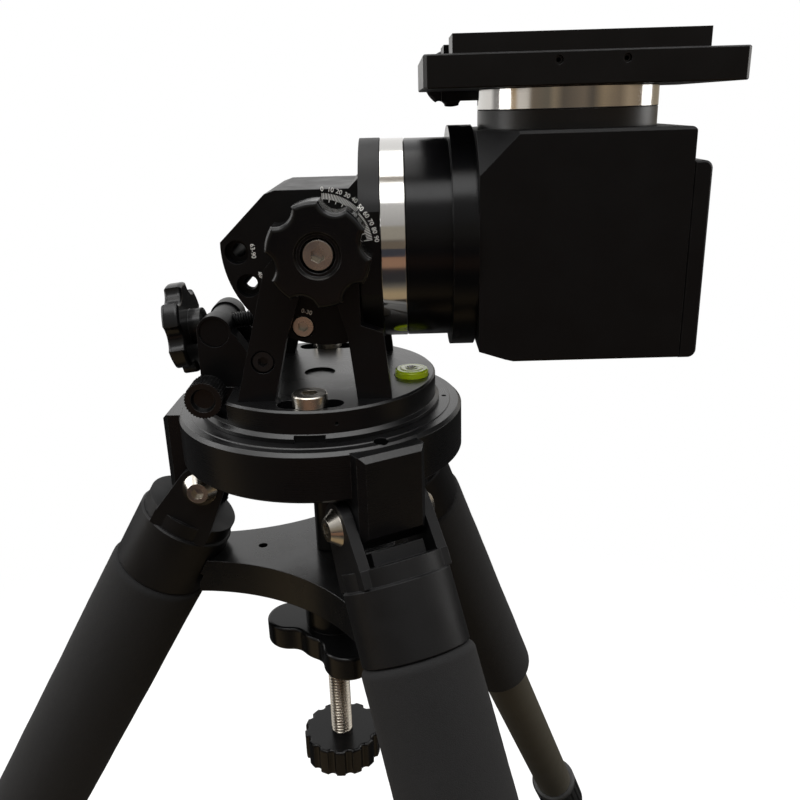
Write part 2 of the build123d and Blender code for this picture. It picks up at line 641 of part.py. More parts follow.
# ---------- latitude head ----------
with BuildPart() as altitude_body:
    facet = on_circle(CHEEK_R, 177)
    foot_x = FLANGE_X0 - PIVOT_X
    foot_z = -math.sqrt(CHEEK_R ** 2 - foot_x ** 2)
    bottom = on_circle(CHEEK_R, 235)
    with BuildSketch(side_plane(-CHEEK_IN)):
        with BuildLine():
            start = (PIVOT_X + facet[0], PIVOT_Z + facet[1])
            end = (FLANGE_X0, PIVOT_Z + foot_z)
            ThreePointArc(start, (PIVOT_X + bottom[0], PIVOT_Z + bottom[1]), end)
            Polyline(end, (FLANGE_X0, 109.5), (20.5, 105.5), (-11.0, 105.5), (-15.5, 104.0), start)
        make_face()
    extrude(amount=CHEEK_OUT - CHEEK_IN)
    mirror(about=Plane.XZ)
    web_rim = [on_circle(CHEEK_R, angle) for angle in (177, 188, 200.2)]
    web_arc = [(PIVOT_X + x, PIVOT_Z + z) for x, z in web_rim]
    with BuildSketch(side_plane(CHEEK_IN)):
        with BuildLine():
            ThreePointArc(*web_arc)
            Polyline(
                web_arc[2], (-12.0, 56.0), (FLANGE_X0, 56.0), (FLANGE_X0, 109.5),
                (20.5, 105.5), (-11.0, 105.5), (-15.5, 104.0), web_arc[0],
            )
        make_face()
    extrude(amount=2 * CHEEK_IN)
    with BuildSketch(end_plane(FLANGE_X0)):
        with Locations((0, RA_Z)):
            Circle(RA_R + 0.5)
            Rectangle(2 * PLATE_OUT, 3 * RA_R, mode=Mode.INTERSECT)
            Circle(16, mode=Mode.SUBTRACT)
    extrude(amount=RING_X0 - FLANGE_X0)
    with BuildSketch(side_plane(-CHEEK_OUT)):
        with Locations((PIVOT_X, PIVOT_Z)):
            Circle(SHAFT_R + RUN)
            with PolarLocations(PIN_CIRCLE, 4, PIN_ANGLE, 3 * PIN_STEP, endpoint=True):
                Circle(3.0)
    extrude(amount=-2 * CHEEK_OUT, mode=Mode.SUBTRACT)
    for side in (-1, 1):
        with BuildSketch(side_plane(side * CHEEK_OUT)):
            with Locations((PIVOT_X, PIVOT_Z)):
                with PolarLocations(PIN_CIRCLE, 4, PIN_ANGLE, 3 * PIN_STEP, endpoint=True):
                    Circle(5.2)
        extrude(amount=side * 6.4, mode=Mode.SUBTRACT)
keep("altitude_body", altitude_body.part)

PIN_AT = (PIVOT_X + on_circle(PIN_CIRCLE, PIN_ANGLE)[0], PIVOT_Z + on_circle(PIN_CIRCLE, PIN_ANGLE)[1])

with BuildPart() as altitude_nut:
    with BuildSketch(side_plane(NUT_HALF)):
        with Locations(PIN_AT):
            Circle(NUT_R)
            Circle(M6_R + RUN, mode=Mode.SUBTRACT)
    extrude(amount=2 * NUT_HALF)
    along_screw = Plane(origin=(PIN_AT[0], 0, PIN_AT[1]), x_dir=(0, 1, 0), z_dir=screw_frame.z_dir)
    with BuildSketch(along_screw):
        Circle(NUT_BORE)
    extrude(amount=1.5 * NUT_R, both=True, mode=Mode.SUBTRACT)
keep("altitude_nut", altitude_nut.part)

keep("altitude_nut_screws", Compound(children=[
    cap_screw(
        Plane(origin=(PIN_AT[0], side * (CHEEK_OUT - 6.4), PIN_AT[1]), z_dir=(0, side, 0)),
        5.0, 6.0, 3.0, 14,
    )
    for side in (-1, 1)
]))


def clamp_knob(side):
    """Lobed clamp knob on the pivot shaft, with a dished centre for its screw."""
    seat = side_plane(side * CLAMP_IN)
    with BuildPart() as knob:
        with BuildSketch(seat):
            with Locations((PIVOT_X, PIVOT_Z)):
                lobed_outline(CLAMP_R, 6, 7.0, 24.9, 11)
        extrude(amount=-side * (CLAMP_OUT - CLAMP_IN))
        fillet(knob.faces().filter_by(Axis.Y).edges(), 2.2)
        with BuildSketch(seat):
            with Locations((PIVOT_X, PIVOT_Z)):
                Circle(11.5)
        extrude(amount=side * (CLAMP_IN - PLATE_OUT - 0.15))
        with BuildSketch(side_plane(side * CLAMP_OUT)):
            with Locations((PIVOT_X, PIVOT_Z)):
                Circle(9.6)
        extrude(amount=side * 1.6, taper=30, mode=Mode.SUBTRACT)
        with BuildSketch(side_plane(side * CLAMP_OUT)):
            with Locations((PIVOT_X, PIVOT_Z)):
                Circle(7.2)
        extrude(amount=side * 10.5, mode=Mode.SUBTRACT)
        with BuildSketch(side_plane(side * CLAMP_OUT)):
            with Locations((PIVOT_X, PIVOT_Z)):
                Circle(ALT_SCREW_R)
        extrude(amount=side * 24, mode=Mode.SUBTRACT)
    return knob.part


for side, word in ((-1, "near"), (1, "far")):
    keep(f"clamp_knob_{word}", clamp_knob(side))
    bolt_seat = Plane(origin=(PIVOT_X, side * (CLAMP_OUT - 10.5), PIVOT_Z), z_dir=(0, side, 0))
    keep(f"clamp_screw_{word}", cap_screw(bolt_seat, 6.5, 8.6, ALT_SCREW_R, 30))

# ---------- right-ascension axis ----------
keep("ra_ring", ring(
    Plane(origin=(RING_X0, 0, RA_Z), z_dir=(1, 0, 0)), RA_R + 0.15, 22, HOUSING_X0 - RING_X0 - 0.1, 0.35))

with BuildPart() as ra_housing:
    with BuildSketch(end_plane(HOUSING_X0)):
        with Locations((0, RA_Z)):
            Circle(RA_R)
    extrude(amount=RA_FLANGE_X0 - HOUSING_X0)
    with BuildSketch(end_plane(RA_FLANGE_X0)):
        with Locations((0, RA_Z)):
            Circle(RA_FLANGE_R)
    extrude(amount=BOX_X0 - RA_FLANGE_X0)
    rims = ra_housing.edges().filter_by(GeomType.CIRCLE).filter_by(lambda e: e.radius > RA_R - 1)
    chamfer(rims.sort_by(Axis.X)[0], 0.4)
    with BuildSketch(end_plane(HOUSING_X0 + 2.5)):
        with Locations((0, RA_Z)):
            Circle(35)
    extrude(amount=60, mode=Mode.SUBTRACT)
    with BuildSketch(end_plane(HOUSING_X0)):
        with Locations((0, RA_Z)):
            Circle(20)
    extrude(amount=10, mode=Mode.SUBTRACT)
keep("ra_housing", ra_housing.part)

with BuildPart() as ra_gear_motor:
    with BuildSketch(end_plane(HOUSING_X0 + 2.6)):
        with Locations((0, RA_Z)):
            Circle(34.5)
            Circle(5, mode=Mode.SUBTRACT)
    extrude(amount=16)
    with BuildSketch(end_plane(HOUSING_X0 + 18.6)):
        with Locations((0, RA_Z)):
            RectangleRounded(42, 42, 4)
            Circle(5, mode=Mode.SUBTRACT)
    extrude(amount=11.2)
keep("ra_gear_motor", ra_gear_motor.part)

# ---------- declination axis ----------
CORNER = 17.0
with BuildPart() as dec_housing:
    with BuildSketch(end_plane(BOX_X0)):
        with Locations((0, (BOX_Z0 + BOX_Z1) / 2)):
            Rectangle(2 * BOX_HALF, BOX_Z1 - BOX_Z0)
    extrude(amount=BOX_X1 - BOX_X0)
    chamfer(dec_housing.edges().filter_by(Axis.X), 1.2)
    fillet(dec_housing.edges().filter_by(Axis.Y).group_by(Axis.X)[-1].sort_by(Axis.Z)[-1], 2.0)
    with BuildSketch(side_plane(BOX_HALF + 1)):
        with BuildLine():
            Polyline(
                (BOX_X0 - 1, BOX_Z0 + 5.3), (BOX_X0 + 15, BOX_Z0 - 0.01),
                (BOX_X0 - 1, BOX_Z0 - 1), close=True,
            )
        make_face()
    extrude(amount=2 * BOX_HALF + 2, mode=Mode.SUBTRACT)
    for side in (-1, 1):
        with BuildSketch(Plane(
            origin=(BOX_X0, side * BOX_HALF, BOX_Z1 - CORNER), x_dir=(1, 0, 1), z_dir=(-1, side, 1),
        )):
            Rectangle(120, 120)
        extrude(amount=60, mode=Mode.SUBTRACT)
    with BuildSketch(end_plane(BOX_X0 + 5)):
        with Locations((0, (BOX_Z0 + COVER_Z1) / 2)):
            Rectangle(2 * BOX_HALF - 10, COVER_Z1 - BOX_Z0 - 8)
    extrude(amount=100, mode=Mode.SUBTRACT)
    with BuildSketch(end_plane(BOX_X0)):
        with Locations((0, RA_Z)):
            Circle(24)
    extrude(amount=8, mode=Mode.SUBTRACT)
    with BuildSketch(Plane.XY.offset(BOX_Z1)):
        with Locations((DEC_X, 0)):
            Circle(30.2)
    extrude(amount=-24, mode=Mode.SUBTRACT)
    with BuildSketch(Plane.XY.offset(BOX_Z1)):
        for x, y in ((DEC_X - 21.5, -43.5), (DEC_X + 21.5, 43.5)):
            with Locations((x, y)):
                Circle(1.5)
    extrude(amount=-4, mode=Mode.SUBTRACT)
keep("dec_housing", dec_housing.part)

with BuildPart() as dec_side_cover:
    with BuildSketch(side_plane(BOX_HALF)) as cover_outline:
        with Locations(((BOX_X1 + COVER_X1) / 2, (BOX_Z0 + COVER_Z1) / 2)):
            Rectangle(COVER_X1 - BOX_X1, COVER_Z1 - BOX_Z0)
        fillet(cover_outline.vertices().group_by(Axis.X)[-1], 3.4)
    extrude(amount=2 * BOX_HALF)
    chamfer(dec_side_cover.faces().filter_by(Axis.Y).edges(), 0.8)
    with BuildSketch(end_plane(BOX_X1)):
        with Locations((0, (BOX_Z0 + COVER_Z1) / 2)):
            Rectangle(2 * BOX_HALF - 12, COVER_Z1 - BOX_Z0 - 14)
    extrude(amount=4, mode=Mode.SUBTRACT)
    with BuildSketch(end_plane(BOX_X1)):
        for y in (-42, 42):
            for z in (BOX_Z0 + 6, COVER_Z1 - 6):
                with Locations((y, z)):
                    Circle(2.6)
    extrude(amount=20, mode=Mode.SUBTRACT)
keep("dec_side_cover", dec_side_cover.part)

with BuildPart() as dec_collar:
    with BuildSketch(Plane.XY.offset(BOX_Z1)):
        with Locations((DEC_X, 0)):
            Circle(DEC_RING_R - 0.1)
            Circle(30, mode=Mode.SUBTRACT)
    extrude(amount=DEC_COLLAR_TOP - BOX_Z1)
keep("dec_collar", dec_collar.part)

with BuildPart() as dec_gear_motor:
    with BuildSketch(Plane.XY.offset(BOX_Z1 - 28)):
        with Locations((DEC_X, 0)):
            Circle(29.8)
            Circle(5, mode=Mode.SUBTRACT)
    extrude(amount=32)
    with BuildSketch(Plane.XY.offset(BOX_Z1 - 70)):
        with Locations((DEC_X, 0)):
            RectangleRounded(42, 42, 4)
            Circle(5, mode=Mode.SUBTRACT)
    extrude(amount=42)
keep("dec_gear_motor", dec_gear_motor.part)

keep("dec_ring", ring(
    Plane(origin=(DEC_X, 0, DEC_COLLAR_TOP + 0.1)), DEC_RING_R, 20, SADDLE_Z0 - DEC_COLLAR_TOP - 0.1, 0.35))

housing_screws = [
    cap_screw(Plane(origin=(x, y, BOX_Z1 - 1.6)), 1.45, 1.4, 1.0, 2.0)
    for x, y in ((DEC_X - 21.5, -43.5), (DEC_X + 21.5, 43.5))
]
housing_screws += [
    cap_screw(Plane(origin=(BOX_X1 + 4, y, z), z_dir=(1, 0, 0)), 2.55, 2.4, 1.5, 3.9)
    for y in (-42, 42) for z in (BOX_Z0 + 6, COVER_Z1 - 6)
]
keep("housing_screws", Compound(children=housing_screws))

# ---------- dovetail saddle ----------
SLOPE = CHANNEL_HALF - UNDERCUT
SET_SCREW_X, SET_SCREW_Z = (DEC_X - 11.8, DEC_X + 14.8), (SADDLE_Z0 + SADDLE_Z1) / 2 + 3.0
with BuildPart() as saddle_plate:
    with BuildSketch(Plane.XY.offset(SADDLE_Z0)):
        with Locations(((SADDLE_X0 + SADDLE_X1) / 2, 0)):
            Rectangle(SADDLE_X1 - SADDLE_X0, 2 * SADDLE_HALF)
    extrude(amount=SADDLE_Z1 - SADDLE_Z0)
    chamfer(saddle_plate.edges().filter_by(Axis.Z), 1.5)
    broad_faces = saddle_plate.faces().sort_by(Axis.Z)
    chamfer(broad_faces[-1].edges() + broad_faces[0].edges(), 0.5)
    with BuildSketch(end_plane(RAIL_X0)):
        with BuildLine():
            Polyline(
                (-SADDLE_HALF + 0.5, SADDLE_Z1 - 0.5), (-SADDLE_HALF + 0.5, RAIL_Z1), (-SLOPE, RAIL_Z1),
                (-CHANNEL_HALF, SADDLE_Z1 - 0.5), close=True,
            )
        make_face()
    extrude(amount=RAIL_X1 - RAIL_X0)
    with BuildSketch(side_plane(-SADDLE_HALF)):
        for x in SET_SCREW_X:
            with Locations((x, SET_SCREW_Z)):
                Circle(1.7)
    extrude(amount=-9, mode=Mode.SUBTRACT)
    with BuildSketch(Plane.XY.offset(SADDLE_Z1 + 1)):
        with Locations((DEC_X, 0)):
            with PolarLocations(15, 6):
                Circle(4.6)
    extrude(amount=-5.5, mode=Mode.SUBTRACT)
    with BuildSketch(Plane.XY.offset(SADDLE_Z1)):
        with Locations((DEC_X, 0)):
            Circle(6)
    extrude(amount=-30, mode=Mode.SUBTRACT)
    with BuildSketch(side_plane(SADDLE_HALF)):
        for x in SADDLE_KNOB_X:
            with Locations((x, (SADDLE_Z0 + SADDLE_Z1) / 2)):
                Circle(4.0 + RUN)
    extrude(amount=16, mode=Mode.SUBTRACT)
keep("saddle_plate", saddle_plate.part)

with BuildPart() as saddle_screws:
    for x in SET_SCREW_X:
        with BuildSketch(side_plane(-SADDLE_HALF + 1.6)):
            with Locations((x, SET_SCREW_Z)):
                Circle(1.7)
                RegularPolygon(0.95, 6, mode=Mode.SUBTRACT)
        extrude(amount=-6)
    with BuildSketch(Plane.XY.offset(SADDLE_Z1 - 4.5)):
        with Locations((DEC_X, 0)):
            with PolarLocations(15, 6):
                Circle(4.3)
                RegularPolygon(2.1, 6, mode=Mode.SUBTRACT)
    extrude(amount=4)
keep("saddle_screws", saddle_screws.part)

with BuildPart() as saddle_jaw:
    with BuildSketch(end_plane(RAIL_X0)):
        with BuildLine():
            Polyline(
                (CHANNEL_HALF, SADDLE_Z1 + 0.15), (SLOPE, RAIL_Z1), (JAW_OUT, RAIL_Z1),
                (JAW_OUT, SADDLE_Z0 - 4.5), (SADDLE_HALF + 0.2, SADDLE_Z0 - 4.5),
                (SADDLE_HALF + 0.2, SADDLE_Z1 + 0.15), close=True,
            )
        make_face()
    extrude(amount=RAIL_X1 - RAIL_X0)
    with BuildSketch(side_plane(JAW_OUT)):
        for x in SADDLE_KNOB_X:
            with Locations((x, (SADDLE_Z0 + SADDLE_Z1) / 2)):
                Circle(4.0 + RUN)
    extrude(amount=JAW_OUT - SADDLE_HALF, mode=Mode.SUBTRACT)
keep("saddle_jaw", saddle_jaw.part)


def saddle_knob(x):
    """Star knob with its stud, which draws the jaw in: the stud runs into the saddle plate."""
    seat = Plane(origin=(x, JAW_OUT + 0.15, (SADDLE_Z0 + SADDLE_Z1) / 2), x_dir=(1, 0, 0), z_dir=(0, 1, 0))
    with BuildPart() as knob:
        with BuildSketch(seat.offset(4)):
            lobed_outline(13.5, 7, 3.2, 15.0, 10)
        extrude(amount=10)
        fillet(knob.faces().filter_by(Axis.Y).edges(), 1.2)
        with BuildSketch(seat):
            Circle(7)
        extrude(amount=4)
        with BuildSketch(seat):
            Circle(4)
        extrude(amount=-(JAW_OUT + 0.15 - SADDLE_HALF + 9))
    return knob.part


keep("saddle_knob_a", saddle_knob(SADDLE_KNOB_X[0]))
keep("saddle_knob_b", saddle_knob(SADDLE_KNOB_X[1]))

# ---------- move the origin to the bottom centre and write every piece ----------
whole = Compound(children=[part.moved(Location((0, 0, 0))) for part in nodes.values()])
box = whole.bounding_box()
SHIFT = (-(box.min.X + box.max.X) / 2, -(box.min.Y + box.max.Y) / 2, -box.min.Z)
os.makedirs("parts", exist_ok=True)
for name, part in nodes.items():
    placed = part.moved(Location(SHIFT))
    placed.label = name
    export_step(placed, f"parts/{name}.step")
print("nodes", len(nodes), "shift", [round(v, 3) for v in SHIFT], "size", [round(v, 2) for v in box.size])
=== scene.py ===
import json
import math

import bpy
from mathutils import Matrix, Vector, noise


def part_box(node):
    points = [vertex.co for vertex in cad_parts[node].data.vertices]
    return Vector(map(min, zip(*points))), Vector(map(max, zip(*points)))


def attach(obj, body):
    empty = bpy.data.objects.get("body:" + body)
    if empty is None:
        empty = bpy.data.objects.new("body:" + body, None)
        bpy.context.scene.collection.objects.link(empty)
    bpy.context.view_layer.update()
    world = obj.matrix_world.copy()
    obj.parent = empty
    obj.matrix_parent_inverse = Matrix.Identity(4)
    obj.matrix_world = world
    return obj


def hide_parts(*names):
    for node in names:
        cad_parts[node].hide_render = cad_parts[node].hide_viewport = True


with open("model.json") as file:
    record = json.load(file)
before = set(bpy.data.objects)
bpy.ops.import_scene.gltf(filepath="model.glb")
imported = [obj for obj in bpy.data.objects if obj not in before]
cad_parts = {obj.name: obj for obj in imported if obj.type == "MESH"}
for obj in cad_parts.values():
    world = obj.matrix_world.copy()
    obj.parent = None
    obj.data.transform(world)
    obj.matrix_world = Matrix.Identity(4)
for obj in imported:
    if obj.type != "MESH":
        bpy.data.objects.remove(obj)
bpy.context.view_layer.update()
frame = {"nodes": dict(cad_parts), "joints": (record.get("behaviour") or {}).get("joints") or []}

# Looks for the strain-wave equatorial mount and its tripod. Lengths in the tables below are in
# millimetres from the azimuth axis at the hub's top face, where the azimuth hinge has its origin.

MM = 0.001
JOINTS = {joint["name"]: joint for joint in frame["joints"]}
NODES = frame["nodes"]
ORIGIN = Vector((*JOINTS["azimuth_turn"]["pos_m"][:2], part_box("tripod_hub")[1].z))
SIDES = ("left", "near", "far")


def at(x, y, z):
    """A point given in millimetres from the azimuth axis at the hub's top."""
    return Vector((x, y, z)) * MM + ORIGIN


def joint_origin(name):
    return Vector(JOINTS[name]["pos_m"])


def joint_axis(name):
    return Vector(JOINTS[name]["axis"]).normalized()


# ---------- materials ----------
class Tree:
    """Short calls for building one material's nodes."""

    def __init__(self, name):
        self.material = bpy.data.materials.new(name)
        self.material.use_nodes = True
        self.tree = self.material.node_tree
        self.tree.nodes.clear()
        self.coords = self.add("ShaderNodeTexCoord").outputs["Object"]

    def add(self, kind, inputs=None, **settings):
        made = self.tree.nodes.new(kind)
        for key, value in settings.items():
            setattr(made, key, value)
        for key, value in (inputs or {}).items():
            self.put(made.inputs[key], value)
        return made

    def put(self, socket, value):
        if isinstance(value, bpy.types.NodeSocket):
            self.tree.links.new(value, socket)
        else:
            socket.default_value = value

    def noise(self, scale, detail=3.0, roughness=0.5, vector=None):
        made = self.add("ShaderNodeTexNoise", {
            "Scale": scale, "Detail": detail, "Roughness": roughness, "Vector": vector or self.coords})
        return made.outputs["Fac"]

    def remap(self, value, low, high, to_low, to_high, smooth=True):
        made = self.add("ShaderNodeMapRange", {
            "Value": value, "From Min": low, "From Max": high, "To Min": to_low, "To Max": to_high})
        if smooth:
            made.interpolation_type = "SMOOTHSTEP"
        return made.outputs["Result"]

    def math(self, operation, a, b=0.0):
        return self.add("ShaderNodeMath", {0: a, 1: b}, operation=operation).outputs["Value"]

    def vector(self, operation, a, b=(0, 0, 0), output="Vector"):
        return self.add("ShaderNodeVectorMath", {0: a, 1: b}, operation=operation).outputs[output]

    def mix(self, fac, a, b):
        made = self.add("ShaderNodeMix", data_type="RGBA")
        self.put(made.inputs["Factor"], fac)
        self.put(made.inputs["A"], a)
        self.put(made.inputs["B"], b)
        return made.outputs["Result"]


def shade(colour, factor):
    return tuple(min(1.0, channel * factor) for channel in colour) + (1.0,)


def turned(tree, centre, axis, scale):
    """Lathe lines: they run round the axis, on rims and on end faces alike."""
    from_axis = tree.vector("SUBTRACT", tree.coords, tuple(centre))
    along = tree.vector("DOT_PRODUCT", from_axis, tuple(axis), "Value")
    out = tree.vector("LENGTH", tree.vector("CROSS_PRODUCT", from_axis, tuple(axis)), output="Value")
    made = tree.add("ShaderNodeTexNoise", noise_dimensions="1D")
    for socket, value in (("Scale", scale), ("Detail", 4.0), ("Roughness", 0.65)):
        tree.put(made.inputs[socket], value)
    tree.put(made.inputs["W"], tree.math("ADD", along, out))
    return made.outputs["Fac"]


def finish(name, colour, rough, metal=0.0, ior=1.5, coat=0.0, tint=0.12, tint_scale=45.0, grain=2600.0,
           grain_depth=0.02, rough_change=0.06, bevel=0.30, edge_wear_and_highlight=0.0, edge_wear_highlight_colour=(0.2, 0.2, 0.2),
           lathe=None, lathe_depth=0.010, brushed=None, sheen=0.0, brighter_top_ior=None):
    """A machined, moulded or sprayed finish: grain, uneven gloss, handling marks, and edges lightened
    toward a grey that is partly wear and partly a painted edge highlight.
    bevel, grain_depth and lathe_depth are in millimetres. The last argument gives faces that look upward a
    higher IOR, so they reflect more: a painted brighter reflection on tops."""
    t = Tree(name)
    cloudy = t.noise(tint_scale, 5.0, 0.6)
    fine = t.noise(grain, 2.0, 0.6)
    base = t.mix(cloudy, shade(colour, 1.0 - tint), shade(colour, 1.0 + tint))
    base = t.mix(t.remap(fine, 0.35, 0.65, 0.0, 0.5), base, shade(colour, 1.0 + 1.6 * tint))
    smudge = t.noise(16.0, 6.0, 0.7)
    roughness = t.math("ADD", t.remap(cloudy, 0.3, 0.7, rough - rough_change, rough + rough_change),
                       t.remap(smudge, 0.52, 0.72, 0.0, rough_change))
    height = t.math("MULTIPLY", fine, grain_depth)
    if lathe:
        lines = turned(t, *lathe)
        height = t.math("ADD", height, t.math("MULTIPLY", lines, lathe_depth))
        roughness = t.math("ADD", roughness, t.remap(lines, 0.3, 0.7, -rough_change, rough_change))
    if brushed:
        stretched = t.vector("MULTIPLY", t.coords, brushed)
        strokes = t.noise(1.0, 3.0, 0.7, stretched)
        height = t.math("ADD", height, t.math("MULTIPLY", strokes, lathe_depth))
        roughness = t.math("ADD", roughness, t.remap(strokes, 0.3, 0.7, -rough_change, rough_change))
    rounded = t.add("ShaderNodeBevel", {"Radius": bevel * MM}, samples=4).outputs["Normal"]
    # Edges are lightened toward a grey in noisy patches: partly wear, partly a painted edge highlight.
    if edge_wear_and_highlight:
        flat = t.add("ShaderNodeNewGeometry").outputs["True Normal"]
        turn = t.math("SUBTRACT", 1.0, t.vector("DOT_PRODUCT", rounded, flat, "Value"))
        patchy = t.remap(t.noise(260.0, 4.0), 0.38, 0.62, 0.15, 1.0)
        worn_and_lit_edge = t.math("MULTIPLY", t.remap(turn, 0.02, 0.14, 0.0, edge_wear_and_highlight), patchy)
        base = t.mix(worn_and_lit_edge, base, shade(edge_wear_highlight_colour, 1.0))
        roughness = t.math("SUBTRACT", roughness, t.math("MULTIPLY", worn_and_lit_edge, 0.1))
    # Faces that look upward get a higher IOR and reflect more: a painted brighter reflection on tops.
    if brighter_top_ior:
        upward = t.add("ShaderNodeSeparateXYZ", {0: t.add("ShaderNodeNewGeometry").outputs["True Normal"]})
        ior = t.remap(upward.outputs["Z"], 0.5, 0.9, ior, brighter_top_ior)
    bump = t.add("ShaderNodeBump", {"Strength": 1.0, "Distance": MM, "Height": height, "Normal": rounded})
    shader = t.add("ShaderNodeBsdfPrincipled", {
        "Base Color": base, "Roughness": roughness, "Normal": bump.outputs["Normal"],
        "Metallic": metal, "IOR": ior, "Coat Weight": coat, "Coat Roughness": 0.12, "Sheen Weight": sheen,
    })
    t.add("ShaderNodeOutputMaterial", {"Surface": shader.outputs["BSDF"]})
    return t.material


ANODISED = (0.0030, 0.0030, 0.0034)
# Grey that edges are lightened toward: partly wear, partly a painted edge highlight.
WORN_AND_LIT_EDGE = (0.13, 0.13, 0.135)
Z_AXIS = (0.0, 0.0, 1.0)
X_AXIS = (1.0, 0.0, 0.0)
Y_AXIS = (0.0, 1.0, 0.0)
RA_CENTRE = joint_origin("ra_turn")
DEC_CENTRE = joint_origin("dec_turn")
PIVOT = joint_origin("altitude_tilt")

black_milled = finish("black_milled", ANODISED, 0.4, ior=1.28, edge_wear_and_highlight=0.30, edge_wear_highlight_colour=WORN_AND_LIT_EDGE,
                      grain_depth=0.010)
black_blasted = finish("black_blasted", ANODISED, 0.45, ior=1.27, edge_wear_and_highlight=0.28, edge_wear_highlight_colour=WORN_AND_LIT_EDGE,
                       grain=3400.0,
                       grain_depth=0.022, rough_change=0.04)
saddle_black = finish("saddle_black", ANODISED, 0.36, ior=1.34, edge_wear_and_highlight=0.34, edge_wear_highlight_colour=WORN_AND_LIT_EDGE, grain=3400.0,
                      grain_depth=0.014, rough_change=0.04)
black_turned_z = finish("black_turned_z", ANODISED, 0.3, ior=1.32, edge_wear_and_highlight=0.55, edge_wear_highlight_colour=WORN_AND_LIT_EDGE,
                        lathe=(ORIGIN, Z_AXIS, 2600.0), lathe_depth=0.0028, rough_change=0.03, brighter_top_ior=1.68)
black_turned_ra = finish("black_turned_ra", ANODISED, 0.2, ior=1.26, edge_wear_and_highlight=0.30, edge_wear_highlight_colour=WORN_AND_LIT_EDGE,
                         lathe=(RA_CENTRE, X_AXIS, 2400.0), lathe_depth=0.003, rough_change=0.03)
black_turned_dec = finish("black_turned_dec", ANODISED, 0.34, ior=1.45, edge_wear_and_highlight=0.35, edge_wear_highlight_colour=WORN_AND_LIT_EDGE,
                          lathe=(DEC_CENTRE, Z_AXIS, 2400.0), lathe_depth=0.003, rough_change=0.03)
knob_pivot = finish("knob_pivot", (0.0028, 0.0028, 0.0030), 0.20, ior=1.34, edge_wear_and_highlight=0.45, edge_wear_highlight_colour=WORN_AND_LIT_EDGE,
                    bevel=0.5,
                    lathe=(PIVOT, Y_AXIS, 2200.0), lathe_depth=0.003, grain_depth=0.003, rough_change=0.04)
knob_gloss = finish("knob_gloss", (0.0032, 0.0032, 0.0034), 0.22, ior=1.34, edge_wear_and_highlight=0.2, edge_wear_highlight_colour=WORN_AND_LIT_EDGE,
                    bevel=0.5,
                    grain_depth=0.006, rough_change=0.05)
cast_black = finish("cast_black", (0.0042, 0.0042, 0.0046), 0.44, ior=1.3, edge_wear_and_highlight=0.20, edge_wear_highlight_colour=WORN_AND_LIT_EDGE,
                    grain=1500.0, grain_depth=0.04, bevel=0.5)
plate_gloss = finish("plate_gloss", (0.0045, 0.0045, 0.0045), 0.24, ior=1.36, edge_wear_and_highlight=0.2, edge_wear_highlight_colour=WORN_AND_LIT_EDGE,
                     grain=900.0,
                     grain_depth=0.03, bevel=0.6, brighter_top_ior=1.6)
ring_ra = finish("ring_ra", (0.62, 0.61, 0.59), 0.1, metal=1.0, tint=0.05, rough_change=0.04,
                 grain_depth=0.002,
                 lathe=(RA_CENTRE, X_AXIS, 3000.0), lathe_depth=0.003)
ring_dec = finish("ring_dec", (0.56, 0.55, 0.53), 0.1, metal=1.0, tint=0.05, rough_change=0.04,
                  grain_depth=0.002,
                  lathe=(DEC_CENTRE, Z_AXIS, 3000.0), lathe_depth=0.003)
stainless = finish("stainless", (0.50, 0.47, 0.42), 0.24, metal=1.0, tint=0.08, rough_change=0.08,
                   bevel=0.25,
                   grain=1800.0, grain_depth=0.006)
rod_steel = finish("rod_steel", (0.44, 0.40, 0.34), 0.22, metal=1.0, tint=0.10, rough_change=0.05,
                   bevel=0.02,
                   grain=1800.0, grain_depth=0.004)
machined_steel = finish("machined_steel", (0.30, 0.30, 0.31), 0.34, metal=1.0, tint=0.08, bevel=0.25)
oxide = finish("oxide", (0.010, 0.010, 0.011), 0.34, metal=0.4, tint=0.1, bevel=0.15)
olive_tube = finish("olive_tube", (0.095, 0.086, 0.064), 0.36, metal=0.35, tint=0.10, tint_scale=30.0,
                    grain=2600.0,
                    grain_depth=0.006, brushed=(3000.0, 3000.0, 90.0), lathe_depth=0.003, rough_change=0.04)
lock_plastic = finish("lock_plastic", (0.008, 0.008, 0.008), 0.50, tint=0.15, grain=1400.0,
                      grain_depth=0.05)
foot_rubber = finish("foot_rubber", (0.012, 0.012, 0.012), 0.72, tint=0.2, grain=900.0, grain_depth=0.06,
                     rough_change=0.08)
foam = finish("foam", (0.0100, 0.0100, 0.0104), 0.92, ior=1.35, tint=0.45, tint_scale=260.0, grain=2100.0,
              grain_depth=0.14, rough_change=0.04, bevel=0.4, sheen=0.02)
white_paint = finish("white_paint", (0.88, 0.88, 0.86), 0.55, tint=0.08, bevel=0.02, grain=5000.0,
                     grain_depth=0.003)
lime = finish("lime", (0.58, 0.80, 0.01), 0.16, tint=0.12, tint_scale=160.0, coat=0.6, grain_depth=0.002,
              bevel=0.2)
lime_pale = finish("lime_pale", (0.74, 0.92, 0.20), 0.10, tint=0.10, tint_scale=220.0, coat=0.8,
                   grain_depth=0.001,
                   bevel=0.2)
lime_dark = finish("lime_dark", (0.05, 0.10, 0.004), 0.25, tint=0.15, coat=0.3, grain_depth=0.002,
                   bevel=0.1)

